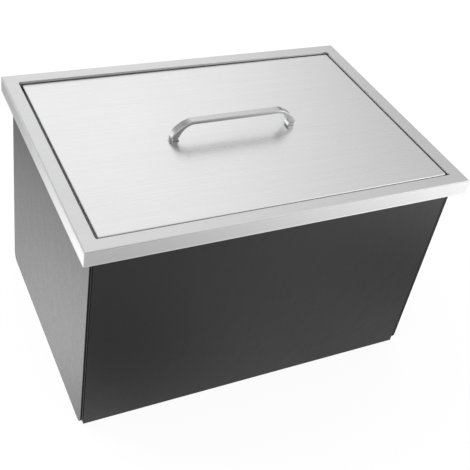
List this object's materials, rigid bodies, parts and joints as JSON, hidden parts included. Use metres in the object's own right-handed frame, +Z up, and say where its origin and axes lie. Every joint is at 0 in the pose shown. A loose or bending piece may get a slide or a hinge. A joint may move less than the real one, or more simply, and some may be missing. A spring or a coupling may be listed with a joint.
{
  "type": "drop-in ice bin",
  "caption": "Insulated stainless steel ice well that hangs by its rim in a worktop cut-out, with a lift-off lid, bow handle and floor drain with stopper.",
  "frame": {"origin": "middle of the base, on the plane that the bin stands on", "axes": "+X along the long side, to the right of a user who faces the bin; -Y towards the user; +Z up, out of the well"},
  "size_m": [0.508, 0.356, 0.3306],
  "materials": {
    "brushed_steel": "satin",
    "satin_steel": "satin",
    "chrome": "polished",
    "zinc_steel": "satin",
    "cover_sheet": "matte",
    "foam": "matte",
    "rubber": "matte",
    "white_plastic": "satin"
  },
  "bodies": {
    "bin": {"rim_frame": "brushed_steel", "liner_tub": "satin_steel", "side_panel_left": "cover_sheet", "side_panel_right": "cover_sheet", "front_panel": "cover_sheet", "rear_panel": "cover_sheet", "base_panel": "cover_sheet", "insulation_base": "foam", "insulation_left": "foam", "insulation_right": "foam", "insulation_front": "foam", "insulation_rear": "foam", "drain_body": "satin_steel", "drain_strainer": "satin_steel", "drain_gasket_upper": "rubber", "drain_gasket_lower": "rubber", "drain_washer": "white_plastic", "drain_locknut": "zinc_steel"},
    "lid": {"lid_skin": "brushed_steel", "lid_core": "foam", "lid_liner": "satin_steel", "lid_handle": "chrome", "handle_washer_left": "zinc_steel", "handle_washer_right": "zinc_steel", "handle_screw_left": "zinc_steel", "handle_screw_right": "zinc_steel"},
    "stopper": {"drain_plug": "rubber"}
  },
  "joints": [
    {"name": "lid_lift", "type": "slide", "parent": "bin", "child": "lid", "axis": [0, 0, 1], "range_m": [0, 0.3]},
    {"name": "plug_lift", "type": "slide", "parent": "bin", "child": "stopper", "axis": [0, 0, 1], "range_m": [0, 0.2]}
  ]
}
